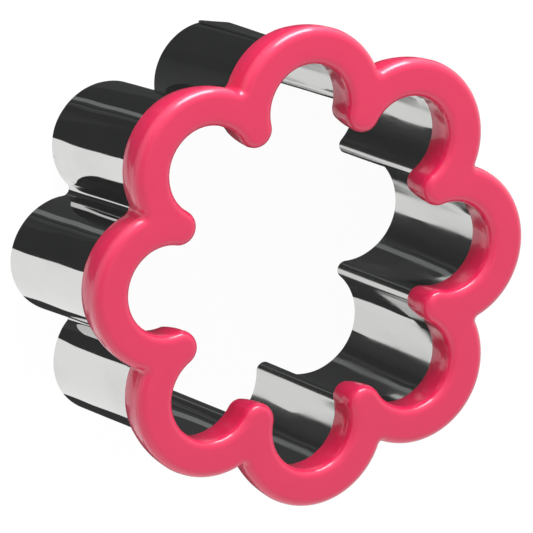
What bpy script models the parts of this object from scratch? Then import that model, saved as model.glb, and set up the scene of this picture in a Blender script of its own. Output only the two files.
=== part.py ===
"""A flower cookie cutter: a thin steel band bent into eight petals, pressed up into a moulded grip.

Metres, +Z up. The cutting edge lies on Z = 0, the grip is on top, and the flower's middle is on the Z axis.
"""

import math

import bmesh
import bpy
from mathutils import Matrix, Vector

# The flower, measured on the middle of the steel
PETALS = 8
PETAL_RADIUS = 0.0122
VALLEY_RADIUS = 0.0016
PETAL_WRAP = math.radians(91.2)  # from a petal's crown to where its valley starts

# The steel band
HEIGHT = 0.0445  # from the cutting edge to the grip's top
STEEL = 0.0004
LAP_WIDTH = 0.0065
LAP_GAP = 0.00005
JOGGLE = 0.0025  # the length over which the outer end steps out to lie on the inner one
SEAM_PETAL = 2
SEAM_ANGLE = math.radians(8)  # the outer end's edge, from its petal's crown
WELDS = 3
WELD_RADIUS = 0.001

# The moulded grip
GRIP_HEIGHT = 0.0096
GRIP_OUTSIDE = 0.005  # from the middle of the steel to the grip's outside, at a petal
GRIP_INSIDE = 0.00285
GRIP_NECK = math.radians(102.7)  # from a petal's crown to where the nose between two petals starts
NOTCH_RADIUS = 0.0008
TOP_ROUND = 0.0019
BOTTOM_CHAMFER = 0.0005
OUTER_DRAFT = 0.0013  # how far the outside leans in by its bottom edge
INNER_DRAFT = 0.0008
PARTING_STEP = 0.00012
PARTING_DROP = 0.0003  # below the top rounding
COVER = 0.0019  # plastic over the groove

# What joins the two: plugs of the grip's plastic through holes in the steel
CLEARANCE = 0.0003
PLUG_RADIUS = 0.0012
PLUG_ANGLE = math.radians(50)  # each side of a petal's crown

# How finely the round shapes are cut up
PETAL_STEP = math.radians(9.5)
VALLEY_STEP = math.radians(20)
NOSE_STEP = math.radians(17)
NOTCH_STEP = math.radians(40)
JOGGLE_STEP = math.radians(2.4)
ROUND_STEPS = 3
ROD_SIDES = 12
SHARP_ANGLE = math.radians(35)

HALF_PETAL = math.pi / PETALS
PETAL_CIRCLE = (PETAL_RADIUS + VALLEY_RADIUS) * (
    math.sin(PETAL_WRAP) / math.tan(HALF_PETAL) - math.cos(PETAL_WRAP)
)
GRIP_BOTTOM = HEIGHT - GRIP_HEIGHT
GROOVE_TOP = HEIGHT - COVER
BAND_TOP = GROOVE_TOP - CLEARANCE
PLUG_HEIGHT = (GRIP_BOTTOM + BAND_TOP) / 2
LAP_OFFSET = STEEL + LAP_GAP
ACROSS_GRIP = GRIP_INSIDE + GRIP_OUTSIDE


def clear_scene():
    for obj in list(bpy.data.objects):
        bpy.data.objects.remove(obj)


def collection(name):
    made = bpy.data.collections.new(name)
    bpy.context.scene.collection.children.link(made)
    return made


def material(name, color, roughness, metallic):
    made = bpy.data.materials.new(name)
    made.use_nodes = True
    shader = made.node_tree.nodes["Principled BSDF"]
    shader.inputs["Base Color"].default_value = (*color, 1)
    shader.inputs["Roughness"].default_value = roughness
    shader.inputs["Metallic"].default_value = metallic
    return made


def object_from(bm, name, place):
    """An object that holds the bmesh, with its faces turned outwards."""
    bmesh.ops.recalc_face_normals(bm, faces=bm.faces)
    mesh = bpy.data.meshes.new(name)
    bm.to_mesh(mesh)
    bm.free()
    made = bpy.data.objects.new(name, mesh)
    place.objects.link(made)
    return made


def cutter_from(bm, name, place):
    made = object_from(bm, name, place)
    made.hide_render = True
    made.display_type = "WIRE"
    return made


def boolean(target, operation, other):
    made = target.modifiers.new(other.name, "BOOLEAN")
    made.operation = operation
    made.solver = "EXACT"
    made.object = other


def finish(obj, surface):
    obj.data.materials.append(surface)
    obj.data.shade_smooth()
    obj.data.set_sharp_from_angle(angle=SHARP_ANGLE)


def direction(angle):
    return Vector((math.cos(angle), math.sin(angle)))


def arc(centre, radius, start, end, step):
    """Points and outward normals along an arc, one at its middle. A valley's radius is negative."""
    count = 2 * math.ceil(abs(end - start) / step / 2)
    angles = [start + (end - start) * i / count for i in range(count + 1)]
    return [(centre + radius * direction(angle), direction(angle)) for angle in angles]


def petal_centre(petal):
    return PETAL_CIRCLE * direction(2 * HALF_PETAL * petal)


def valley(petal_radius, valley_radius):
    """How far out a valley's centre lies, and the angle from a petal's crown to where the valley starts."""
    across = PETAL_CIRCLE * math.sin(HALF_PETAL)
    reach = petal_radius + valley_radius
    out = PETAL_CIRCLE * math.cos(HALF_PETAL) + math.sqrt(reach**2 - across**2)
    wrap = math.atan2(out * math.sin(HALF_PETAL), out * math.cos(HALF_PETAL) - PETAL_CIRCLE)
    return out, wrap


def petal_and_valley(petal, petal_radius, valley_radius, valley_step, start=None):
    """One petal from its start angle, or all of it, and the valley after it."""
    out, wrap = valley(petal_radius, valley_radius)
    crown = 2 * HALF_PETAL * petal
    begin = crown + (-wrap if start is None else start)
    line = arc(petal_centre(petal), petal_radius, begin, crown + wrap, PETAL_STEP)[:-1]
    centre = out * direction(crown + HALF_PETAL)
    line += arc(centre, -valley_radius, crown + wrap, crown + 2 * HALF_PETAL - wrap, valley_step)[:-1]
    return line


def flower(petal_radius, valley_radius, valley_step):
    line = []
    for petal in range(PETALS):
        line += petal_and_valley(petal, petal_radius, valley_radius, valley_step)
    return line


def moved_out(line, distance):
    return [point + distance * normal for point, normal in line]


def seam_angles():
    """On the seam's petal: the outer end's edge, the inner end's edge, and the joggle's two ends."""
    outer = SEAM_ANGLE
    inner = outer - LAP_WIDTH / PETAL_RADIUS
    joggled = inner - CLEARANCE / PETAL_RADIUS
    return outer, inner, joggled, joggled - JOGGLE / PETAL_RADIUS


def lap_line(past_end):
    """The band's end that steps out and lies on the other end, carried past its edge by a length."""
    outer, _, joggled, flat = seam_angles()
    crown = 2 * HALF_PETAL * SEAM_PETAL
    end = outer + past_end / PETAL_RADIUS
    line = arc(petal_centre(SEAM_PETAL), PETAL_RADIUS, crown + flat, crown + joggled, JOGGLE_STEP)[:-1]
    line += arc(petal_centre(SEAM_PETAL), PETAL_RADIUS, crown + joggled, crown + end, PETAL_STEP)
    points = []
    for point, normal in line:
        along = direction(crown + flat).angle_signed(normal) / (flat - joggled)
        rise = min(1, max(0, along))
        smooth_rise = rise * rise * (3 - 2 * rise)
        points.append(point + LAP_OFFSET * smooth_rise * normal)
    return points


def band_line():
    """The middle of the steel from its inner end, once round the flower, to its outer end."""
    _, inner, _, flat = seam_angles()
    out, wrap = valley(PETAL_RADIUS, VALLEY_RADIUS)
    line = petal_and_valley(SEAM_PETAL, PETAL_RADIUS, VALLEY_RADIUS, VALLEY_STEP, inner)
    for turn in range(1, PETALS):
        line += petal_and_valley(SEAM_PETAL + turn, PETAL_RADIUS, VALLEY_RADIUS, VALLEY_STEP)
    crown = 2 * HALF_PETAL * SEAM_PETAL
    line += arc(petal_centre(SEAM_PETAL), PETAL_RADIUS, crown - wrap, crown + flat, PETAL_STEP)[:-1]
    return moved_out(line, 0) + lap_line(0)


def ribbon(points, bottom, top, closed):
    """An upright sheet along the points."""
    bm = bmesh.new()
    low = [bm.verts.new((*point, bottom)) for point in points]
    high = [bm.verts.new((*point, top)) for point in points]
    for i in range(len(points) - (not closed)):
        after = (i + 1) % len(points)
        bm.faces.new((low[i], low[after], high[after], high[i]))
    return bm


def thicken(sheet, thickness):
    made = sheet.modifiers.new("thickness", "SOLIDIFY")
    made.thickness = thickness
    made.offset = 0
    made.use_even_offset = True


def rods(radius, length, places):
    """Round rods, each centred at a place and lying along its direction."""
    bm = bmesh.new()
    for place, along in places:
        turn = Vector((0, 0, 1)).rotation_difference(along).to_matrix().to_4x4()
        bmesh.ops.create_cone(
            bm,
            cap_ends=True,
            segments=ROD_SIDES,
            radius1=radius,
            radius2=radius,
            depth=length,
            matrix=Matrix.Translation(place) @ turn,
        )
    return bm


def on_petal(petal, angle, offset, height):
    """A place on the steel and the direction square to it."""
    normal = direction(2 * HALF_PETAL * petal + angle)
    place = petal_centre(petal) + (PETAL_RADIUS + offset) * normal
    return place.to_3d() + Vector((0, 0, height)), normal.to_3d()


def plug_places():
    return [
        on_petal(petal, side * PLUG_ANGLE, 0, PLUG_HEIGHT)
        for petal in range(PETALS)
        for side in (-1, 1)
    ]


def weld_places():
    outer, inner, _, _ = seam_angles()
    return [
        on_petal(SEAM_PETAL, (outer + inner) / 2, LAP_OFFSET / 2, GRIP_BOTTOM * (i + 0.5) / WELDS)
        for i in range(WELDS)
    ]


def cutting_band(parts, cutters):
    """The strip of polished steel, closed by a lap with spot welds, with holes that the grip's plugs fill."""
    band = object_from(ribbon(band_line(), 0, BAND_TOP, closed=False), "cutting_band", parts)
    thicken(band, STEEL)
    punch = rods(PLUG_RADIUS + CLEARANCE, ACROSS_GRIP, plug_places())
    boolean(band, "DIFFERENCE", cutter_from(punch, "hole_punches", cutters))
    nuggets = rods(WELD_RADIUS, LAP_OFFSET + STEEL / 2, weld_places())
    boolean(band, "UNION", cutter_from(nuggets, "weld_nuggets", cutters))
    return band


def groove(cutters):
    """The space for the steel in the grip, with a clearance round it, less the plugs that cross it."""
    bottom = GRIP_BOTTOM - GRIP_HEIGHT / 2
    line = flower(PETAL_RADIUS, VALLEY_RADIUS, VALLEY_STEP)
    once_round = cutter_from(ribbon(moved_out(line, 0), bottom, GROOVE_TOP, closed=True), "groove", cutters)
    lap = cutter_from(ribbon(lap_line(CLEARANCE), bottom, GROOVE_TOP, closed=False), "lap_groove", cutters)
    for sheet in (once_round, lap):
        thicken(sheet, STEEL + 2 * CLEARANCE)
    plugs = cutter_from(rods(PLUG_RADIUS, ACROSS_GRIP, plug_places()), "plugs", cutters)
    boolean(once_round, "UNION", lap)
    boolean(once_round, "DIFFERENCE", plugs)
    return once_round


def wall_profile(draft):
    """A grip wall from its bottom up, as (distance in from the grip's widest outline, height)."""
    turns = [math.pi / 2 * i / ROUND_STEPS for i in range(ROUND_STEPS + 1)]
    low = [(draft + BOTTOM_CHAMFER, GRIP_BOTTOM), (draft, GRIP_BOTTOM + BOTTOM_CHAMFER)]
    step = HEIGHT - TOP_ROUND - PARTING_DROP
    parting = [(PARTING_STEP, step - PARTING_STEP), (0, step)]
    high = [
        (TOP_ROUND * (1 - math.cos(turn)), HEIGHT - TOP_ROUND * (1 - math.sin(turn)))
        for turn in turns
    ]
    return low + parting + high


def loft(bm, line, inwards, profile):
    """Rings of the line at each step of the profile, joined by faces. Returns the edges of its two ends."""
    rings = [
        [bm.verts.new((*point, height)) for point in moved_out(line, inwards * distance)]
        for distance, height in profile
    ]
    for below, above in zip(rings, rings[1:]):
        for i in range(len(line)):
            j = (i + 1) % len(line)
            bm.faces.new((below[i], below[j], above[j], above[i]))
    ends = rings[0], rings[-1]
    return [[bm.edges.get((ring[i - 1], ring[i])) for i in range(len(ring))] for ring in ends]


def grip_ring(parts, cutters):
    """The moulded ring: round petals outside, petals and noses inside, and the steel's groove from below."""
    neck = PETAL_CIRCLE * math.tan(HALF_PETAL) / (
        math.sin(GRIP_NECK) - math.tan(HALF_PETAL) * math.cos(GRIP_NECK)
    )
    inside = PETAL_RADIUS - GRIP_INSIDE
    outer = flower(PETAL_RADIUS + GRIP_OUTSIDE, NOTCH_RADIUS, NOTCH_STEP)
    inner = flower(inside, neck - inside, NOSE_STEP)
    bm = bmesh.new()
    outer_ends = loft(bm, outer, -1, wall_profile(OUTER_DRAFT))
    inner_ends = loft(bm, inner, 1, wall_profile(INNER_DRAFT))
    for outer_end, inner_end in zip(outer_ends, inner_ends):
        bmesh.ops.triangle_fill(bm, use_beauty=True, edges=outer_end + inner_end)
    ring = object_from(bm, "grip_ring", parts)
    boolean(ring, "DIFFERENCE", groove(cutters))
    return ring


def main():
    clear_scene()
    parts = collection("cookie_cutter")
    cutters = collection("cutters")
    cutters.hide_render = True
    finish(cutting_band(parts, cutters), material("polished_steel", (0.72, 0.72, 0.71), 0.08, 1))
    finish(grip_ring(parts, cutters), material("pink_plastic", (0.8, 0.055, 0.14), 0.35, 0))


main()
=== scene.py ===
# %% [markdown]
# A flower cookie cutter, dressed for its photograph.
#
# The real thing is two pieces. One is a thin strip of polished stainless steel, bent into eight round
# petals and closed on itself by a lap with spot welds. The other is a pink plastic grip, moulded on to the
# strip's upper edge. Their solids come packed as a fixed frame, coarse and plain. This script makes the
# same two pieces again in the same places, with round curves, fine edges and finishes, and lights them.
#
# The frame is loaded first, because every size below is read from it or sits beside it.

# %% Load the frame
import math

import bpy
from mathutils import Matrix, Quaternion, Vector, noise


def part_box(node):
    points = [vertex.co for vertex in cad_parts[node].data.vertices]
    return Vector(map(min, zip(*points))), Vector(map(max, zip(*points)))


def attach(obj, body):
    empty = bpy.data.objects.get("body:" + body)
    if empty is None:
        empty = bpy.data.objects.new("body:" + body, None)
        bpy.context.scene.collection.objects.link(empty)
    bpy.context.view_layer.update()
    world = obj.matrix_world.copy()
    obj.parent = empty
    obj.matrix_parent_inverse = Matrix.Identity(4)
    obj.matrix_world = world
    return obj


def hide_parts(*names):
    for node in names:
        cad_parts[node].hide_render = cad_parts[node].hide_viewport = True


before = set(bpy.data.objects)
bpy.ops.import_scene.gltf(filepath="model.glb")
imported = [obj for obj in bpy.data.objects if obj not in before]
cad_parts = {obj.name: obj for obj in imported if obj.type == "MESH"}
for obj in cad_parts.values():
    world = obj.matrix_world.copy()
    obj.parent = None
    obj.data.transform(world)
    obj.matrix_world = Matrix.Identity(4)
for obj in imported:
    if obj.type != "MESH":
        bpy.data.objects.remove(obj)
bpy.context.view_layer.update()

MM = 0.001
print("CAD nodes:", sorted(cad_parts))

# %% [markdown]
# The camera.
#
# The photograph looks down into the cutter from above its left side, with the camera rolled a good quarter
# turn, and from far away: the near and far petals are almost the same size. A long lens at over a metre
# gives that. We aim at a point near the flower's middle and say where the camera stands by two angles, as
# one would with a tripod. to_track_quat points the camera's -Z axis along the line of sight, and the roll
# is one more turn about that line.

# %% Place the camera
AIM = Vector((0.628, -4.177, 23.919)) * MM
CAMERA_DISTANCE = 1.749
CAMERA_AZIMUTH = math.radians(151.716)
CAMERA_ELEVATION = math.radians(56.614)
CAMERA_ROLL = math.radians(113.832)
LENS = 570.57
SIGHT = 20  # metres, so that nothing of the room is cut off


def direction(azimuth, elevation=0):
    """The unit vector that points that way from the origin."""
    flat = math.cos(elevation)
    return Vector((flat * math.cos(azimuth), flat * math.sin(azimuth), math.sin(elevation)))


towards_camera = direction(CAMERA_AZIMUTH, CAMERA_ELEVATION)
camera = bpy.data.objects.new("camera", bpy.data.cameras.new("camera"))
camera.data.lens = LENS
camera.data.clip_end = SIGHT
camera.location = AIM + CAMERA_DISTANCE * towards_camera
upright = (-towards_camera).to_track_quat("-Z", "Y")
camera.rotation_mode = "QUATERNION"
camera.rotation_quaternion = Quaternion(towards_camera, CAMERA_ROLL) @ upright
bpy.context.scene.collection.objects.link(camera)
bpy.context.scene.camera = camera
print("camera at", [round(x, 3) for x in camera.location])

# %% [markdown]
# Shader maths that reads like maths.
#
# A material is a graph of nodes. Wired by hand, even "1 - mask * 0.3" takes four lines, so one small class
# wraps a socket and gives it Python's operators. An expression then adds the Math nodes by itself. Every
# other node comes from the one method, node, which sets the node's settings first and its sockets after.


# %% Wrap a socket
class Wire:
    """An output of a node tree. Arithmetic on it adds Math nodes to the tree."""

    def __init__(self, tree, socket=None):
        self.tree = tree
        self.socket = socket

    def node(self, kind, settings, sockets, output=0):
        made = self.tree.nodes.new(kind)
        for name, value in settings.items():
            setattr(made, name, value)
        for name, value in sockets.items():
            if isinstance(value, Wire):
                self.tree.links.new(value.socket, made.inputs[name])
            else:
                made.inputs[name].default_value = value
        return Wire(self.tree, made.outputs[output])

    def maths(self, operation, first, second):
        return self.node("ShaderNodeMath", {"operation": operation}, {0: first, 1: second})

    def __add__(self, other):
        return self.maths("ADD", self, other)

    __radd__ = __add__

    def __sub__(self, other):
        return self.maths("SUBTRACT", self, other)

    def __rsub__(self, other):
        return self.maths("SUBTRACT", other, self)

    def __mul__(self, other):
        return self.maths("MULTIPLY", self, other)

    __rmul__ = __mul__

    def __gt__(self, other):
        return self.maths("GREATER_THAN", self, other)

    def __lt__(self, other):
        return self.maths("LESS_THAN", self, other)

    def into(self, kind, name):
        """Links this wire to an input of the tree's only node of that kind."""
        made = next(n for n in self.tree.nodes if n.bl_idname == kind)
        self.tree.links.new(self.socket, made.inputs[name])


print("a Wire can be added, subtracted, multiplied and compared")

# %% [markdown]
# Starting a finish.
#
# A few moves come up in every finish: start with an empty tree, mix two colours or two shaders, and ask a
# ray where it has been. The Light Path node knows that, both whether a ray comes from the camera or from a
# mirror and how many shiny surfaces have sent it on. The floor, the room and some of the cards look
# different to different rays, so they all ask.


# %% Start a material, mix colours and sort rays
def new_material(name):
    """An empty material and the wire that starts its nodes."""
    made = bpy.data.materials.new(name)
    made.use_nodes = True
    made.node_tree.nodes.clear()
    made.node_tree.nodes.new("ShaderNodeOutputMaterial")
    return made, Wire(made.node_tree)


def mixed(start, share, first, second):
    """A colour that goes from the first to the second as the share goes from 0 to 1."""
    settings = {"data_type": "RGBA"}
    return start.node("ShaderNodeMix", settings, {0: share, 6: first, 7: second}, 2)


def either(start, share, first, second):
    """A surface that goes from the first shader to the second as the share goes from 0 to 1."""
    return start.node("ShaderNodeMixShader", {}, {0: share, 1: first, 2: second})


def seen_directly(start):
    """1 for a ray from the camera, or one that a mirror or glass sends on, and 0 for light that bounces."""
    rays = [start.node("ShaderNodeLightPath", {}, {}, name) for name in
            ("Is Camera Ray", "Is Glossy Ray", "Is Transmission Ray")]
    return rays[0] + rays[1] + rays[2]


def mirrors_met(start):
    """How many shiny surfaces have sent the ray on."""
    return start.node("ShaderNodeLightPath", {}, {}, "Glossy Depth")


print("finishes can be started")

# %% [markdown]
# The floor.
#
# The cutter lies on a pale floor in a white room, with no corner or horizon. The floor is plain white to
# whatever looks at it directly, which is what makes the background white without more light on the cutter.
# Light Path tells such rays apart. The floor lets a little of its lit surface through, so that the
# cutter's shadow stays on it. From below it is clear, so that the cutter can be looked at from there too.
# Reflections don't see it at all, because what they have to show stands under it.

# %% Make the floor
FLOOR_REACH = 3.0
FLOOR_WHITE = 0.86  # how much of the floor's look is plain white, the rest being its lit surface
FLOOR_GLOW = 1.1
FLOOR_PAINT = (0.6, 0.6, 0.6, 1)

floor_finish, start = new_material("floor_white")
lit = start.node("ShaderNodeBsdfDiffuse", {}, {"Color": FLOOR_PAINT})
plain = start.node("ShaderNodeEmission", {}, {"Color": (1, 1, 1, 1), "Strength": FLOOR_GLOW})
clear = start.node("ShaderNodeBsdfTransparent", {}, {})
pale = either(start, seen_directly(start) * FLOOR_WHITE, lit, plain)
behind = start.node("ShaderNodeNewGeometry", {}, {}, "Backfacing")
either(start, behind, pale, clear).into("ShaderNodeOutputMaterial", "Surface")

bpy.ops.mesh.primitive_circle_add(vertices=96, radius=FLOOR_REACH, fill_type="NGON")
floor = bpy.context.object
floor.name = "floor"
floor.data.materials.append(floor_finish)
floor.visible_glossy = False
print("the floor reaches", FLOOR_REACH, "m")

# %% [markdown]
# The white room.
#
# The world is the room's walls. To the camera and to mirrors it is plain white, and light that bounces
# gets the room's real, softer level. In the valleys between two petals light goes from wall to wall many
# times. The room is painted nearly dark for any ray that has met three mirrors, which happens mostly
# there: a painted shade deep in the valleys.

# %% Make the world
SOFT_LIGHT = 0.72
MIRRORS_IN_CREVICE = 2.5  # between the second mirror and the third
# How much of the white is taken away, as painted shade, from a ray that has met three mirrors.
CREVICE_PAINTED_SHADE = 0.95

world = bpy.data.worlds.new("white_room")
bpy.context.scene.world = world
world.use_nodes = True
world.node_tree.nodes.clear()
world.node_tree.nodes.new("ShaderNodeOutputWorld")
start = Wire(world.node_tree)
soft = start.node("ShaderNodeBackground", {}, {"Color": (1, 1, 1, 1), "Strength": SOFT_LIGHT})
# The room's white, painted nearly dark for a ray deep in a valley: a painted shade.
white_or_crevice_shade = 1 - (mirrors_met(start) > MIRRORS_IN_CREVICE) * CREVICE_PAINTED_SHADE
white = start.node("ShaderNodeBackground", {}, {"Color": (1, 1, 1, 1), "Strength": white_or_crevice_shade})
either(start, seen_directly(start), soft, white).into("ShaderNodeOutputWorld", "Surface")
print("the room's soft light is", SOFT_LIGHT)

# %% [markdown]
# Cards for the steel.
#
# Polished steel has no look of its own: it shows what stands round it. In an all-white room it would be
# white and flat, so a photographer puts black cards round it and leaves a gap. Each wall then shows a pale
# band where it faces the gap, with a hard edge where the card's edge is. The walls stand upright and the
# camera looks down at them, so what they show lies further down than the cutter itself. These cards
# therefore stand below the floor, and only reflections see them.
#
# A card isn't lit. It glows with the tone that it should have, which its corners carry as a colour
# attribute, so that a tone can change along a card.

# %% Cut a card
CARD_TINT = (0.97, 1.0, 1.0)


def glowing(start):
    """A shader that gives off the tone that a card's corners carry."""
    shade = start.node("ShaderNodeVertexColor", {"layer_name": "shade"}, {})
    return start.node("ShaderNodeEmission", {}, {"Color": shade})


card_finish, start = new_material("card")
glowing(start).into("ShaderNodeOutputMaterial", "Surface")


def card(name, faces, tones, finish=card_finish):
    """A card for reflections only, from faces with corners in millimetres and a tone for each corner."""
    mesh = bpy.data.meshes.new(name)
    corners = [Vector(corner) * MM for face in faces for corner in face]
    starts = [sum(len(face) for face in faces[:i]) for i in range(len(faces))]
    mesh.from_pydata(corners, [], [range(first, first + len(face)) for first, face in zip(starts, faces)])
    shades = mesh.color_attributes.new("shade", "FLOAT_COLOR", "POINT")
    for vertex, tone in zip(shades.data, [tone for face in tones for tone in face]):
        vertex.color = (*[tone * tint for tint in CARD_TINT], 1)
    made = bpy.data.objects.new(name, mesh)
    bpy.context.scene.collection.objects.link(made)
    made.data.materials.append(finish)
    made.visible_camera = False
    made.visible_diffuse = False
    made.visible_shadow = False


def facing_x(name, x, outline, tones, finish=card_finish):
    """An upright card across the X axis, from the (y, z) of its corners."""
    card(name, [[(x, y, z) for y, z in outline]], [tones], finish)


def facing_y(name, y, outline, tone):
    """An upright card across the Y axis, from the (x, z) of its corners."""
    card(name, [[(x, y, z) for x, z in outline]], [[tone] * len(outline)])


print("cards are tinted", CARD_TINT)

# %% [markdown]
# Cards that come and go.
#
# Between two petals the walls face each other, and a gap that is right for a plain reflection can be wrong
# for one that has already met another wall. Light Path counts those meetings, so a finish can show its
# card to the first reflection and let later ones through, or the other way about.

# %% Make the part-time finishes
FIRST_MIRROR = 1.5  # between the first mirror and the second


def part_time_finish(name, for_first):
    """A card's finish that only the first reflection meets, or only the later ones."""
    finish, start = new_material(name)
    met = mirrors_met(start)
    meets = met < FIRST_MIRROR if for_first else met > FIRST_MIRROR
    clear = start.node("ShaderNodeBsdfTransparent", {}, {})
    either(start, meets, clear, glowing(start)).into("ShaderNodeOutputMaterial", "Surface")
    return finish


gap_finish = part_time_finish("gap", for_first=True)
valley_finish = part_time_finish("valley", for_first=False)
print("finishes that come and go:", gap_finish.name, "and", valley_finish.name)

# %% [markdown]
# Two cards on the left.
#
# Left, right, front and back are here as in the picture: back is its top. The side card gives the dark
# stripes of the outer walls on the left their lower edge. The low card stands nearer and lower. It is the
# wedge above that edge, and on the inner walls it is the start of the dark stripe below the pale one.
#
# Petals at different distances see different stretches of a card's edge, so an edge that leans in steps
# places the stripes petal by petal. The valley card carries the side card on for those reflections that
# have met another wall, and the low card's foot goes on down for the first ones.

# %% Stand the cards on the left
CARD_BOTTOM = -2500
SIDE_X = -128
SIDE_TOP = -60
SIDE_FOOT = -190
SIDE_BACK = 95
SIDE_EDGE = [(-3, SIDE_TOP), (-3, -100), (1, -125), (5, -150), (5, SIDE_FOOT)]
SIDE_TONE = 0.039
VALLEY_FRONT = -26
LOW_X = -72
LOW_TOP = -78
LOW_FOOT = -200
LOW_FRONT = -8
LOW_BACK = 78
LOW_EDGE = [(-20, LOW_TOP), (-20, -97), (-7, -124), (-6, -150), (LOW_FRONT, -175), (LOW_FRONT, LOW_FOOT)]
LOW_TONE = 0.068
LOW_BACK_TONE = 0.044

side = SIDE_EDGE + [(SIDE_BACK, SIDE_FOOT), (SIDE_BACK, SIDE_TOP)]
facing_x("side_card", SIDE_X, side, [SIDE_TONE] * len(side))
beside = SIDE_EDGE + [(VALLEY_FRONT, SIDE_FOOT), (VALLEY_FRONT, SIDE_TOP)]
facing_x("valley_card", SIDE_X, beside, [SIDE_TONE] * len(beside), valley_finish)
low = LOW_EDGE + [(LOW_BACK, LOW_FOOT), (LOW_BACK, LOW_TOP)]
facing_x("low_card", LOW_X, low, [LOW_TONE] * len(LOW_EDGE) + [LOW_BACK_TONE] * 2)
foot = [(LOW_FRONT, LOW_FOOT), (LOW_FRONT, CARD_BOTTOM), (LOW_BACK, CARD_BOTTOM), (LOW_BACK, LOW_FOOT)]
facing_x("low_card_foot", LOW_X, foot, [LOW_TONE] * 2 + [LOW_BACK_TONE] * 2, gap_finish)
print("cards on the left at x", SIDE_X, "and", LOW_X, "mm")

# %% [markdown]
# The near card, the right card and the gate.
#
# The near card stands in front of the cutter. It is the dark foot of the outer walls at the lower left,
# and the short dark wedges beside the valleys of the inner walls. The notch in its long edge lets some of
# the white room through. The right card shows as thin lines at the far ends of the stripes. The gate is a
# small card close behind the cutter. It is the upper part of the dark stripes on the two outer walls at
# the top left.

# %% Stand the cards in front, on the right and behind
NEAR_Y = -130
NEAR_TOP = -40
NEAR_EDGE = [(-31, NEAR_TOP), (-31, -117), (-25, -130), (-22, -145), (-18, -165), (-18, -180), (-25, -205)]
NEAR_NOTCH = [(24, -209), (24, -223), (-33, -223)]
NEAR_TAIL = [(-60, -250), (-80, -256), (-80, -300), (40, -300), (40, CARD_BOTTOM)]
NEAR_TONE = 0.04
RIGHT_X = 260
RIGHT_TOP = -120
RIGHT_BACK = 172
RIGHT_TONE = 0.055
GATE_Y = 70
GATE_ENDS = (-30, 24)
GATE_BOTTOM = -95
GATE_TONE = 0.042

near = NEAR_EDGE + NEAR_NOTCH + NEAR_TAIL + [(RIGHT_X, CARD_BOTTOM), (RIGHT_X, NEAR_TOP)]
facing_y("near_card", NEAR_Y, near, NEAR_TONE)
right = [(NEAR_Y, CARD_BOTTOM), (RIGHT_BACK, CARD_BOTTOM), (RIGHT_BACK, RIGHT_TOP), (NEAR_Y, RIGHT_TOP)]
facing_x("right_card", RIGHT_X, right, [RIGHT_TONE] * len(right))
left_end, right_end = GATE_ENDS
gate = [(left_end, GATE_BOTTOM), (right_end, GATE_BOTTOM), (right_end, 0), (left_end, 0)]
facing_y("gate_card", GATE_Y, gate, GATE_TONE)
print("cards in front at y", NEAR_Y, "and on the right at x", RIGHT_X, "mm")

# %% [markdown]
# The far screens.
#
# The rest of the dark stripes, outside and inside, shows what is far off behind the cutter. In the
# photograph that isn't one even tone: a grey streak and some fainter lines run along each petal. A screen
# bends round the middle at a great distance, so that every petal shows the same streaks at the same angle.
# The one with the streaks stands just in front of the plain one, and only first reflections see it.

# %% Bend the far screens
FAR_RADIUS = 1000
FAR_TOP = -884
SCREEN_GAP = 10
SCREEN_STEP = 3
FAR_TONES = [(12, 0.058), (99.8, 0.055), (104.8, 0.05), (114.8, 0.04), (162, 0.04)]
STREAK_TONES = [
    (88.2, 0.056), (88.6, 0.21), (99.4, 0.21), (99.8, 0.055),
    (104.8, 0.055), (105.2, 0.03), (106, 0.03), (106.4, 0.048),
    (108.8, 0.048), (109.2, 0.1), (110.5, 0.1), (110.9, 0.048),
    (112.8, 0.048), (113.2, 0.085), (114.4, 0.085), (114.8, 0.04),
]


def screen(name, radius, tones, finish=card_finish):
    """An upright card that bends round the middle. Its tone changes along it, as (azimuth, tone)."""
    faces, shades = [], []
    for (a, first), (b, second) in zip(tones, tones[1:]):
        count = math.ceil((b - a) / SCREEN_STEP)
        for i in range(count):
            shares = [i / count, (i + 1) / count]
            ends = [radius * direction(math.radians(a + (b - a) * share)) for share in shares]
            left, right = [first + (second - first) * share for share in shares]
            faces.append([(*ends[0].xy, CARD_BOTTOM), (*ends[1].xy, CARD_BOTTOM),
                          (*ends[1].xy, FAR_TOP), (*ends[0].xy, FAR_TOP)])
            shades.append([left, right, right, left])
    card(name, faces, shades, finish)


screen("far_screen", FAR_RADIUS, FAR_TONES)
screen("gap_screen", FAR_RADIUS - SCREEN_GAP, STREAK_TONES, gap_finish)
print("far screens stand", FAR_RADIUS, "mm away")

# %% [markdown]
# The bottom of the room.
#
# The grip's walls lean, and their weak gloss mirrors what lies steeply below. Were that all white, the
# walls would look chalky. A dark disc closes the bottom, with a paler sector that gives the walls facing
# left their soft sheen.

# %% Close the bottom
DEEP_RADIUS = 1200
DEEP_STEP = 15
DEEP_TONE = 0.05
PALE_SECTOR = range(195, 285)
PALE_TONE = 0.62

sectors, tones = [], []
for azimuth in range(0, 360, DEEP_STEP):
    ends = [DEEP_RADIUS * direction(math.radians(end)) for end in (azimuth, azimuth + DEEP_STEP)]
    sectors.append([(0, 0, CARD_BOTTOM), (*ends[0].xy, CARD_BOTTOM), (*ends[1].xy, CARD_BOTTOM)])
    tones.append([PALE_TONE if azimuth in PALE_SECTOR else DEEP_TONE] * 3)
card("deep_card", sectors, tones)
print("the bottom lies at", CARD_BOTTOM, "mm, in", len(sectors), "sectors")

# %% [markdown]
# The flower's outline.
#
# The strip, the grip's outside and its inside all follow one plan: eight round petals whose middles lie on
# a circle, joined by small arcs. The strip's small arcs are its valleys, outside the grip they are sharp
# notches, and inside it they are round noses. One function draws them all. A point is kept with its
# outward direction, because everything that follows (thickness, roundings, grooves) is a step along that
# direction.

# %% Draw the outlines
PETALS = 8
PETAL_RADIUS = 12.2 * MM
VALLEY_RADIUS = 1.6 * MM
STEEL = 0.4 * MM

band_low, band_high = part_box("cutting_band")
grip_low, grip_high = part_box("grip_ring")
HALF_PETAL = math.pi / PETALS
PETAL_CIRCLE = band_high.x - STEEL / 2 - PETAL_RADIUS


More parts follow.
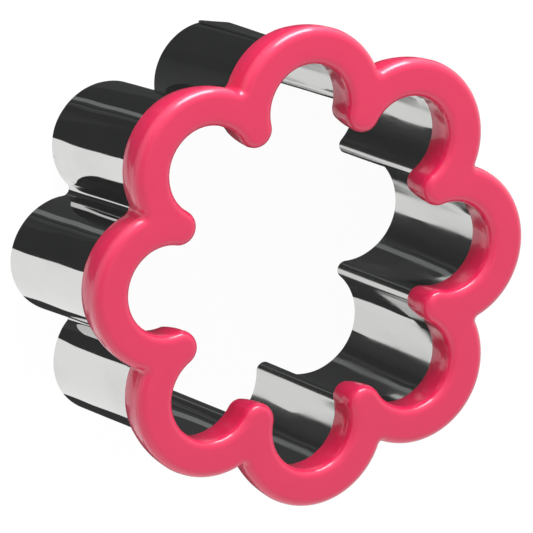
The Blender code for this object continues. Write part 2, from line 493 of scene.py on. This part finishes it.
def crown(petal):
    """The way that a petal points, which is also the way to its middle."""
    return 2 * HALF_PETAL * petal


def petal_centre(petal):
    return PETAL_CIRCLE * direction(crown(petal))


def valley(petal_radius, valley_radius):
    """How far out a valley's middle lies, and the angle from a petal's crown to where the valley starts."""
    across = PETAL_CIRCLE * math.sin(HALF_PETAL)
    reach = petal_radius + valley_radius
    out = PETAL_CIRCLE * math.cos(HALF_PETAL) + math.sqrt(reach**2 - across**2)
    wrap = math.atan2(out * math.sin(HALF_PETAL), out * math.cos(HALF_PETAL) - PETAL_CIRCLE)
    return out, wrap


def arc(centre, radius, start, end, count):
    """Points and outward directions along an arc, without its last point."""
    angles = [start + (end - start) * i / count for i in range(count)]
    return [(centre + radius * direction(angle), direction(angle)) for angle in angles]


def flower(petal_radius, valley_radius, petal_count, valley_count):
    """The whole outline, anticlockwise, from petal 0's first point."""
    out, wrap = valley(petal_radius, valley_radius)
    line = []
    for petal in range(PETALS):
        first, last = crown(petal) - wrap, crown(petal) + wrap
        line += arc(petal_centre(petal), petal_radius, first, last, petal_count)
        middle = out * direction(crown(petal + 0.5))
        line += arc(middle, -valley_radius, last, crown(petal + 1) - wrap, valley_count)
    return line


print("petals' middles lie on a circle of", round(PETAL_CIRCLE / MM, 3), "mm")

# %% [markdown]
# The steel strip, as a line.
#
# Seen from above, the strip starts at its inner end, runs once round the flower and comes back over
# itself. Just before the overlap it steps out by its own thickness, so that the outer end lies flat on the
# inner one. That step is eased in and out, because sheet metal can't turn a sharp corner without cracking.

# %% Walk round the strip
SEAM_PETAL = 2
SEAM_ANGLE = math.radians(8)
LAP_WIDTH = 6.5 * MM
LAP_GAP = 0.05 * MM
JOGGLE = 2.5 * MM
LAP_CLEARANCE = 0.3 * MM
LAP_OFFSET = STEEL + LAP_GAP
STRIP_STEP = math.radians(2)
JOGGLE_STEP = math.radians(0.6)
VALLEY_POINTS = 36

inner_end = SEAM_ANGLE - LAP_WIDTH / PETAL_RADIUS
lap_starts = inner_end - LAP_CLEARANCE / PETAL_RADIUS
joggle_starts = lap_starts - JOGGLE / PETAL_RADIUS


def eased(share):
    share = min(1, max(0, share))
    return share * share * (3 - 2 * share)


def seam_arc(start, end, step=STRIP_STEP):
    """The seam petal's points between two angles from its crown, the last point left out."""
    count = math.ceil((end - start) / step)
    first, last = crown(SEAM_PETAL) + start, crown(SEAM_PETAL) + end
    return arc(petal_centre(SEAM_PETAL), PETAL_RADIUS, first, last, count)


def from_seam(way):
    """The angle from the seam petal's crown to the way that a vector points."""
    return math.atan2(way.y, way.x) - crown(SEAM_PETAL)


def lap_rise(normal):
    """How far the strip has stepped out, by the way that it faces on the seam petal."""
    return LAP_OFFSET * eased((from_seam(normal) - joggle_starts) / (lap_starts - joggle_starts))


def strip_line():
    """Points and outward directions from the inner end, once round, to the outer end."""
    _, wrap = valley(PETAL_RADIUS, VALLEY_RADIUS)
    petal_count = math.ceil(2 * wrap / STRIP_STEP)
    ring = flower(PETAL_RADIUS, VALLEY_RADIUS, petal_count, VALLEY_POINTS)
    first = SEAM_PETAL * (petal_count + VALLEY_POINTS)
    between = ring[first + petal_count :] + ring[:first]
    line = seam_arc(inner_end, wrap) + between + seam_arc(-wrap, joggle_starts)
    lap = seam_arc(joggle_starts, lap_starts, JOGGLE_STEP) + seam_arc(lap_starts, SEAM_ANGLE)
    lap += seam_arc(SEAM_ANGLE, SEAM_ANGLE + STRIP_STEP)[:1]
    return line + [(point + lap_rise(normal) * normal, normal) for point, normal in lap]


strip = strip_line()
length = sum((b[0] - a[0]).length for a, b in zip(strip, strip[1:]))
print("the strip is", round(length / MM, 1), "mm long,", len(strip), "points")

# %% [markdown]
# How the strip's walls wander.
#
# Real strip is rolled, bent over a former and pressed into its grip, so its walls are never quite true:
# they carry slow waves of about a tenth of a millimetre, and small dents where the grip took hold. A
# mirror finish shows both as bends in every reflection. The spot welder's tips leave shallow dimples on
# the lap, and its jaws have pressed the lap flat, so that the petal at the seam has a corner. Each of
# these is a small step along a point's outward direction, and a function gives its size for a place on the
# strip.

# %% Work out waves, dimples and the flat lap
WAVE_HEIGHT = 0.13 * MM
WAVE_LENGTH = 11 * MM
WAVE_DEPTH = 22 * MM  # how far a wave runs up the wall before it changes
RIPPLE = 0.4  # a shorter wave's height beside the slow one's
RIPPLES_A_WAVE = 2.1
DENT_HEIGHT = 0.035 * MM
DENT_LENGTH = 3.5 * MM
DENT_REACH = 12 * MM  # how far below the grip the steel shows the marks of being pressed in
HELD = 2 * MM  # how far inside the grip the last of a wave goes
FLAT_FACES = math.radians(-12)  # the way the lap's flat faces, from the seam petal's crown
FLAT_SPREAD = math.radians(45)
FLAT_AT_RIM = 0.63 * MM
FLAT_AT_GRIP = 1.7 * MM
FLAT_FADE = 8 * MM  # the grip holds the strip true, and the flat fades out over this height below it
FLAT_CREASE = 0.1 * MM
WELDS = 3
WELD_DIMPLE = 1.7 * MM
WELD_DEPTH = 0.018 * MM

BAND_TOP = band_high.z
GRIP_BOTTOM = grip_low.z
weld_heights = [GRIP_BOTTOM * (i + 0.5) / WELDS for i in range(WELDS)]
weld_angle = crown(SEAM_PETAL) + (SEAM_ANGLE + inner_end) / 2
weld_spot = petal_centre(SEAM_PETAL) + PETAL_RADIUS * direction(weld_angle)


def wave(point, height):
    """The strip's slow waves and, near the grip, its small dents. Both fade out where the grip holds it."""
    held = eased((height - GRIP_BOTTOM) / HELD)
    place = Vector((point.x / WAVE_LENGTH, point.y / WAVE_LENGTH, height / WAVE_DEPTH))
    slow = WAVE_HEIGHT * (noise.noise(place) + RIPPLE * noise.noise(RIPPLES_A_WAVE * place))
    pressed = eased(1 - (GRIP_BOTTOM - height) / DENT_REACH)
    dents = DENT_HEIGHT * pressed * noise.noise(Vector((*point.xy, height)) / DENT_LENGTH)
    return (1 - held) * (slow + dents)


def pressed_flat(point, height):
    """How far the lap is pressed in from its round petal, where the welder's jaws have closed on it."""
    aside = from_seam(point - petal_centre(SEAM_PETAL)) - FLAT_FACES
    if abs(aside) > FLAT_SPREAD:
        return 0
    round_reach = PETAL_RADIUS + LAP_OFFSET + STEEL / 2
    depth = FLAT_AT_RIM + (FLAT_AT_GRIP - FLAT_AT_RIM) * height / GRIP_BOTTOM
    dent = round_reach - (round_reach - depth) / math.cos(aside)
    free = eased((GRIP_BOTTOM - height) / FLAT_FADE)
    return free * (dent + math.hypot(dent, FLAT_CREASE)) / 2


def dimple(point, height):
    near = [Vector((*(point - weld_spot).xy, height - weld)).length for weld in weld_heights]
    return WELD_DEPTH * eased(1 - min(near) / WELD_DIMPLE)


print("spot welds at", [round(weld / MM, 1) for weld in weld_heights], "mm")

# %% [markdown]
# How the free rim has sprung.
#
# Only the grip holds the strip in shape. Its lower rim is free, and in use it has sprung: it leans to one
# side by about 1.6 mm, it is a little oval, and some valleys are bent in or out. All of that grows evenly
# from nothing at the grip, so one function works out the shift at the rim and gives each height its share.

# %% Work out the spring
RIM_OVAL = ((0.014, 0.0074), (0.0074, -0.0226))  # how much wider or narrower the free rim is, each way
RIM_LEAN = Vector((-0.02, -1.64, 0)) * MM
VALLEY_BENDS = {0: 0.35 * MM, 2: -0.5 * MM, 3: 0.5 * MM, 4: 0.9 * MM}  # by the petal before the valley
VALLEY_BEND_REACH = 5 * MM

valley_reach = valley(PETAL_RADIUS, VALLEY_RADIUS)[0] - VALLEY_RADIUS


def sprung(point, height):
    """How far the strip has sprung sideways. Its rim is free, and the grip holds it further up."""
    free = max(0, 1 - height / GRIP_BOTTOM)
    oval = Vector((*[row[0] * point.x + row[1] * point.y for row in RIM_OVAL], 0))
    bent = Vector()
    for petal, push in VALLEY_BENDS.items():
        outwards = direction(crown(petal + 0.5))
        apart = (point - valley_reach * outwards).length
        bent += push * math.exp(-((apart / VALLEY_BEND_REACH) ** 2)) * outwards
    return free * (oval + RIM_LEAN + bent)


print("the rim leans", round(RIM_LEAN.length / MM, 2), "mm")

# %% [markdown]
# The steel strip, as a sheet.
#
# The strip's line is laid at one height after another, each time with the waves and the spring of that
# height, and faces join the rows. The rows are close where the sheet turns quickly, at its rims and its
# welds, and wide apart elsewhere, which keeps the mesh light.

# %% Form the sheet
RIM_ROWS = (0, 0.15, 0.5, 1.2)  # millimetres from either rim
ROW = 2.8 * MM
WELD_ROW = 0.5 * MM


def strip_heights():
    """The sheet's rows: close together at its rims and welds, wide apart between."""
    rows = [row * MM for row in RIM_ROWS] + [BAND_TOP - row * MM for row in RIM_ROWS]
    for weld in weld_heights:
        reach = math.ceil(WELD_DIMPLE / WELD_ROW)
        rows += [weld + step * WELD_ROW for step in range(-reach, reach + 1)]
    rows.sort()
    filled = []
    for low, high in zip(rows, rows[1:]):
        count = max(1, round((high - low) / ROW))
        filled += [low + (high - low) * i / count for i in range(count)]
    return filled + [BAND_TOP]


def sheet_row(height):
    row = []
    for point, normal in strip:
        pushed = wave(point, height) - dimple(point, height) - pressed_flat(point, height)
        row.append(point + pushed * normal + sprung(point, height) + Vector((0, 0, height)))
    return row


def mesh_piece(name, rows, around=False, closed=False):
    """A mesh of rows of points with four-sided faces between them.

    around joins each row's last point to its first, and closed joins the last row to the first.
    """
    width = len(rows[0])
    faces = []
    for i in range(len(rows) - (not closed)):
        for j in range(width - (not around)):
            low, high = i * width, (i + 1) % len(rows) * width
            after = (j + 1) % width
            faces.append((low + j, low + after, high + after, high + j))
    mesh = bpy.data.meshes.new(name)
    mesh.from_pydata([point for row in rows for point in row], [], faces)
    mesh.shade_smooth()
    made = bpy.data.objects.new(name, mesh)
    bpy.context.scene.collection.objects.link(made)
    return made


heights = strip_heights()
band = mesh_piece("steel_band", [sheet_row(height) for height in heights])
print("steel sheet:", len(heights), "rows of", len(strip), "points")

# %% [markdown]
# Thickness and rims.
#
# Solidify makes the sheet into metal, evenly on both sides of its line, and Bevel breaks the edges as
# tumbling does. Both are modifiers, so the sheet itself stays a plain grid. The band then takes the place
# of its solid.

# %% Give the sheet its thickness and rims
RIM_ROUND = 0.05 * MM
RIM_CORNER = math.radians(60)  # only corners sharper than this are rims

thickness = band.modifiers.new("thickness", "SOLIDIFY")
thickness.thickness = STEEL
thickness.offset = 0
thickness.use_even_offset = True
rims = band.modifiers.new("rims", "BEVEL")
rims.width = RIM_ROUND
rims.segments = 2
rims.angle_limit = RIM_CORNER
rims.harden_normals = True
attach(band, "root")
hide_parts("cutting_band")
print("the band stands", round(BAND_TOP / MM, 2), "mm high and goes", round((BAND_TOP - GRIP_BOTTOM) / MM, 2),
      "mm into the grip")

# %% [markdown]
# Polished steel.
#
# The colour of steel in a mirror finish is only a slight greying of what it reflects: a metallic surface
# with a pale grey colour and very little roughness. What makes it believable is that the roughness isn't
# even. The rolls leave faint lines along the strip, and handling leaves soft smears, which blur a
# reflection here and there. On the right half of this cutter the steel's colour is painted a little
# greyer, a painted shade, and its roughness has upright blurred patches of wiping. The lines, smears and
# wipes are noise textures on object coordinates, stretched to suit: the rolls' lines are long and flat
# because the strip always runs level. The right half is read off the X coordinate.

# %% Finish the steel
STEEL_COLOUR = (0.68, 0.68, 0.67, 1)
STEEL_SMEARED = (0.61, 0.615, 0.605, 1)
# A greyer steel for the right half: a painted shade.
STEEL_PAINTED_SHADE = (0.59, 0.595, 0.58, 1)
SHADED_HALF_FROM = -5 * MM
SHADED_HALF_TO = 10 * MM
POLISH = 0.035
ROLLED_ROUGH = 0.01
SMEARED_ROUGH = 0.04
WIPED_ROUGH = 0.14


def noise_wire(start, place, scale, stretch=(1, 1, 1), detail=2):
    """Noise from 0 to 1, with a size for each axis."""
    laid = start.node("ShaderNodeMapping", {}, {"Vector": place, "Scale": stretch})
    return start.node("ShaderNodeTexNoise", {}, {"Vector": laid, "Scale": scale, "Detail": detail})


def share_of(start, value, low, high):
    """0 up to the low value, 1 from the high value on, and evenly between."""
    return start.node("ShaderNodeMapRange", {}, {"Value": value, "From Min": low, "From Max": high})


def relief(start, height, strength, depth):
    """The way that a surface faces once a noise has given it that depth."""
    return start.node("ShaderNodeBump", {}, {"Height": height, "Strength": strength, "Distance": depth})


def surfaced(start, sockets):
    start.node("ShaderNodeBsdfPrincipled", {}, sockets).into("ShaderNodeOutputMaterial", "Surface")


steel, start = new_material("polished_steel")
place = start.node("ShaderNodeTexCoord", {}, {}, "Object")
rolled = noise_wire(start, place, scale=1, stretch=(30, 30, 6000), detail=3)
smears = noise_wire(start, place, scale=90, stretch=(1, 1, 0.6), detail=4)
smeared = share_of(start, smears, low=0.45, high=0.75)
across = start.node("ShaderNodeSeparateXYZ", {}, {"Vector": place}, "X")
# The right half's share, from the X coordinate: there the steel is painted greyer as shade, and wiped patches
# roughen it.
shaded_wiped_half = share_of(start, across, low=SHADED_HALF_FROM, high=SHADED_HALF_TO)
wipes = noise_wire(start, place, scale=260, stretch=(1, 1, 0.12), detail=3)
wiped = share_of(start, wipes, low=0.4, high=0.6)
surfaced(start, {
    "Metallic": 1.0,
    "Base Color": mixed(start, shaded_wiped_half, mixed(start, smeared, STEEL_COLOUR, STEEL_SMEARED), STEEL_PAINTED_SHADE),
    "Roughness": POLISH + rolled * ROLLED_ROUGH + smeared * SMEARED_ROUGH + wiped * shaded_wiped_half * WIPED_ROUGH,
    "Normal": relief(start, rolled, strength=0.03, depth=0.01 * MM),
})
band.data.materials.append(steel)
print("polished steel has", len(steel.node_tree.nodes), "nodes")

# %% [markdown]
# The moulded grip.
#
# The grip is one ring of plastic with the same cross-section all the way round: a flat top between two
# wide roundings, walls that lean in a little towards the bottom so that the moulding can leave its tool, a
# fine ridge where the tool's halves met, and underneath a groove that fits the strip. A sweep along one
# path can't make it, because outside and inside follow different arcs. So three outlines with equal
# numbers of points carry rings of points, each ring a step away from its outline at a height, and faces
# join the rings in order.

# %% Draw the grip's three outlines
GRIP_INSIDE = 2.85 * MM
GRIP_NECK = math.radians(102.7)
NOTCH_RADIUS = 0.8 * MM
PETAL_POINTS = 110
CORNER_POINTS = 20

grip_outside = grip_high.x - PETAL_CIRCLE
grip_inside = PETAL_RADIUS - GRIP_INSIDE
neck = PETAL_CIRCLE * math.tan(HALF_PETAL) / (
    math.sin(GRIP_NECK) - math.tan(HALF_PETAL) * math.cos(GRIP_NECK)
)
outside = flower(grip_outside, NOTCH_RADIUS, PETAL_POINTS, CORNER_POINTS)
inside = flower(grip_inside, neck - grip_inside, PETAL_POINTS, CORNER_POINTS)
groove = flower(PETAL_RADIUS, VALLEY_RADIUS, PETAL_POINTS, CORNER_POINTS)
print("noses have a radius of", round((neck - grip_inside) / MM, 2), "mm")

# %% [markdown]
# The grip's walls.
#
# A wall is a list of pairs, how far into the plastic and how high. It starts under the foot's small
# rounding, climbs with its draft, bulges by a twentieth of a millimetre at the parting ridge, and turns
# over the wide rounding on to the top. Outside and inside share the one function and differ only in their
# draft.

# %% Shape a wall
HEIGHT = grip_high.z
TOP_ROUND = 1.9 * MM
BOTTOM_ROUND = 0.5 * MM
OUTER_DRAFT = 1.3 * MM
INNER_DRAFT = 0.8 * MM
PARTING_RIDGE = 0.05 * MM
PARTING_WIDTH = 0.36 * MM
PARTING_DROP = 0.35 * MM
FOOT_STEPS = 5
WALL_STEPS = 10
RIDGE_STEPS = 8
ROUND_STEPS = 12


def quarter(steps):
    """Sine and 1 - cosine through a quarter turn."""
    turns = [math.pi / 2 * i / steps for i in range(steps + 1)]
    return [(math.sin(turn), 1 - math.cos(turn)) for turn in turns]


def wall(draft):
    """One wall from its underside up, as (distance into the plastic, height)."""
    low = [(draft + BOTTOM_ROUND * (1 - s), GRIP_BOTTOM + BOTTOM_ROUND * c) for s, c in quarter(FOOT_STEPS)]
    foot = GRIP_BOTTOM + BOTTOM_ROUND
    shoulder = HEIGHT - TOP_ROUND
    ridge = shoulder - PARTING_DROP
    heights = [foot + (ridge - PARTING_WIDTH / 2 - foot) * i / WALL_STEPS for i in range(1, WALL_STEPS)]
    heights += [ridge + PARTING_WIDTH * (i / RIDGE_STEPS - 0.5) for i in range(RIDGE_STEPS + 1)]
    middle = []
    for height in heights:
        lean = draft * ((shoulder - height) / (shoulder - foot)) ** 2
        raised = eased(1 - abs(height - ridge) / (PARTING_WIDTH / 2))
        middle.append((lean - PARTING_RIDGE * raised, height))
    high = [(TOP_ROUND * c, HEIGHT - TOP_ROUND * (1 - s)) for s, c in quarter(ROUND_STEPS)]
    return low + middle + high


def ring(outline, step, height):
    return [point + step * normal + Vector((0, 0, height)) for point, normal in outline]


outer_wall = [ring(outside, -into - PARTING_RIDGE, height) for into, height in wall(OUTER_DRAFT)]
inner_wall = [ring(inside, into, height) for into, height in wall(INNER_DRAFT)]
print("each wall has", len(outer_wall), "rings")

# %% [markdown]
# The groove, and the whole grip.
#
# The plastic was shot round the strip, so its groove fits the steel closely and follows it where it lies
# double, at the lap. The rings run up the outside, over the top, down the inside, into the groove's one
# wall and back by the other, and the last ring closes on the first.

# %% Loft the grip
GROOVE_GAP = 0.02 * MM
GROOVE_ROUND = 0.08 * MM
GROOVE_STEPS = 3


def groove_rise(normal):
    """How far the groove's outer wall stands back for the lap, which ends at the seam."""
    past = (from_seam(normal) - SEAM_ANGLE) * PETAL_RADIUS / LAP_CLEARANCE
    return lap_rise(normal) * (1 - eased(past))


def groove_rings(side):
    """Up one wall of the strip's groove. The outer wall follows the lap where the strip lies double."""
    rings = []
    profile = [(GROOVE_ROUND * (1 - s), GRIP_BOTTOM + GROOVE_ROUND * c) for s, c in quarter(GROOVE_STEPS)]
    profile.append((0, BAND_TOP + GROOVE_GAP))
    for rounding, height in profile:
        row = []
        for index, (point, normal) in enumerate(groove):
            at_seam = index // (PETAL_POINTS + CORNER_POINTS) == SEAM_PETAL
            rise = groove_rise(normal) if at_seam and side > 0 else 0
            step = side * (STEEL / 2 + GROOVE_GAP + rounding) + rise
            row.append(point + step * normal + Vector((0, 0, height)))
        rings.append(row)
    return rings


rings = outer_wall + inner_wall[::-1] + groove_rings(-1) + groove_rings(1)[::-1]
grip = mesh_piece("moulded_grip", rings, around=True, closed=True)
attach(grip, "root")
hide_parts("grip_ring")
print("grip:", len(rings), "rings of", len(rings[0]), "points")

# %% [markdown]
# Moulded pink plastic.
#
# The pigment is in the plastic, so the colour goes all the way through and only drifts a little where the
# melt flowed. The plastic itself scatters light softly, and its outermost skin is glossier. That is what a
# coat is for: it carries the highlights along the roundings, a little blurred. A slow noise moves the
# colour and the roughness, and a speckle moves the roughness and the coat. Two fine ones give the Bump
# node its skin, one of them stretched upwards, the way that the moulding slides out of its tool.

# %% Finish the plastic
PINK = (0.84, 0.014, 0.100, 1)
PINK_DEEP = (0.78, 0.011, 0.088, 1)
BODY_ROUGH = 0.4
FLOW_ROUGH = 0.08
SPECKLE_ROUGH = 0.04
COAT = 0.75
SPECKLE_COAT = 0.2
COAT_ROUGH = 0.12

plastic, start = new_material("pink_plastic")
place = start.node("ShaderNodeTexCoord", {}, {}, "Object")
flow = noise_wire(start, place, scale=110, detail=3)
skin = noise_wire(start, place, scale=2600)
speckle = noise_wire(start, place, scale=900, detail=4)
drawn = noise_wire(start, place, scale=1500, stretch=(1, 1, 0.06))
surfaced(start, {
    "Base Color": mixed(start, flow, PINK, PINK_DEEP),
    "Roughness": BODY_ROUGH + flow * FLOW_ROUGH + speckle * SPECKLE_ROUGH,
    "IOR": 1.5,
    "Coat Weight": COAT + speckle * SPECKLE_COAT,
    "Coat Roughness": COAT_ROUGH,
    "Normal": relief(start, skin + drawn, strength=0.12, depth=0.02 * MM),
})
grip.data.materials.append(plastic)
print("pink plastic has", len(plastic.node_tree.nodes), "nodes")

# %% [markdown]
# The lamp.
#
# One soft box stands behind the cutter and is rolled to one side. It lights the plastic and draws the
# faint shadow. An area lamp's power spreads over its reach, so a helper works the power out from the level
# we want at the cutter, where 1 is the light that shows a white surface as white. Reflections don't see
# this lamp, because they get a picture of it that can be shaped by itself.

# %% Hang the lamp


def soft_box(name, azimuth, elevation, distance, width, height, level, roll):
    lamp = bpy.data.lights.new(name, "AREA")
    lamp.shape = "RECTANGLE"
    lamp.size, lamp.size_y = width, height
    lamp.energy = level * math.pi**2 * distance**2
    made = bpy.data.objects.new(name, lamp)
    towards = direction(math.radians(azimuth), math.radians(elevation))
    middle = Vector((0, 0, HEIGHT / 2))
    made.location = middle + distance * towards
    made.rotation_mode = "QUATERNION"
    facing = (-towards).to_track_quat("-Z", "Y")
    made.rotation_quaternion = Quaternion(towards, math.radians(roll)) @ facing
    bpy.context.scene.collection.objects.link(made)
    print(name, "gives", level, "with", round(lamp.energy, 2), "W")
    return made


key = soft_box("key_light", azimuth=83, elevation=18, distance=0.6, width=0.13, height=0.55,
               level=0.9, roll=-39)
key.visible_glossy = False

# %% [markdown]
# What the gloss sees of the room.
#
# The grip's highlights are pictures too: of the soft box, of the light that spills round it, of a brighter
# wall in front, and of a wall on the left and a ceiling that are greyer than the rest. A dome of small
# cards carries that picture round the cutter, each corner with the tone of its own direction. Its lower
# edge is where the far screens begin. Only reflections see it, so it lights nothing.

# %% Paint the dome
GLOW_RADIUS = 600
GLOW_STEP = 3
GLOW_AZIMUTHS = range(-30, 330, GLOW_STEP)
GLOW_ELEVATIONS = range(-42, 84, GLOW_STEP)
BOX_AZIMUTH = 82
BOX_ELEVATION = 6
BOX_SLOPE = 0.27  # how far the box rises for each degree along it
BOX_LEVEL = 14.0
BOX_HALF_LENGTH, BOX_END = 16, 6
BOX_HALF_HEIGHT, BOX_SIDE = 10, 8
SPILL_LEVEL = 1.3
SPILL_ABOVE = 8
SPILL_WIDTH, SPILL_HEIGHT = 32, 30
PATCHES = [(-0.35, 170, 24, 38, 18), (0.45, 258, 24, 20, 24)]  # level, azimuth, width, elevation, height
CEILING_LEVEL = -0.3
CEILING_ELEVATION = 62
CEILING_HEIGHT = 22


def bell(angle, width):
    return math.exp(-((angle / width) ** 2) / 2)


def flat_bell(angle, half, edge):
    """1 across twice the half width, easing to 0 over the edge's width outside it."""
    return eased((half + edge - abs(angle)) / edge)


def glow_tone(azimuth, elevation):
    """How bright the room and the soft box look that way, 1 being the white room."""
    along = azimuth - BOX_AZIMUTH
    above = elevation - BOX_ELEVATION - BOX_SLOPE * along
    box = BOX_LEVEL * flat_bell(along, BOX_HALF_LENGTH, BOX_END)
    box *= flat_bell(above, BOX_HALF_HEIGHT, BOX_SIDE)
    tone = 1 + box
    tone += SPILL_LEVEL * bell(along, SPILL_WIDTH) * bell(above - SPILL_ABOVE, SPILL_HEIGHT)
    tone += CEILING_LEVEL * bell(elevation - CEILING_ELEVATION, CEILING_HEIGHT)
    for level, aside, width, up, height in PATCHES:
        tone += level * bell(azimuth - aside, width) * bell(elevation - up, height)
    return tone


glow_finish, start = new_material("glow")
glowing(start).into("ShaderNodeOutputMaterial", "Surface")
glow_finish.cycles.emission_sampling = "NONE"
patches, tones = [], []
for azimuth in GLOW_AZIMUTHS:
    for elevation in GLOW_ELEVATIONS:
        corners = [(azimuth, elevation), (azimuth + GLOW_STEP, elevation),
                   (azimuth + GLOW_STEP, elevation + GLOW_STEP), (azimuth, elevation + GLOW_STEP)]
        patches.append([tuple(GLOW_RADIUS * direction(math.radians(a), math.radians(e))) for a, e in corners])
        tones.append([glow_tone(a, e) for a, e in corners])
card("glow_card", patches, tones, glow_finish)
print("the dome has", len(patches), "patches")

# %% Set the view transform
bpy.context.scene.view_settings.view_transform = "Standard"
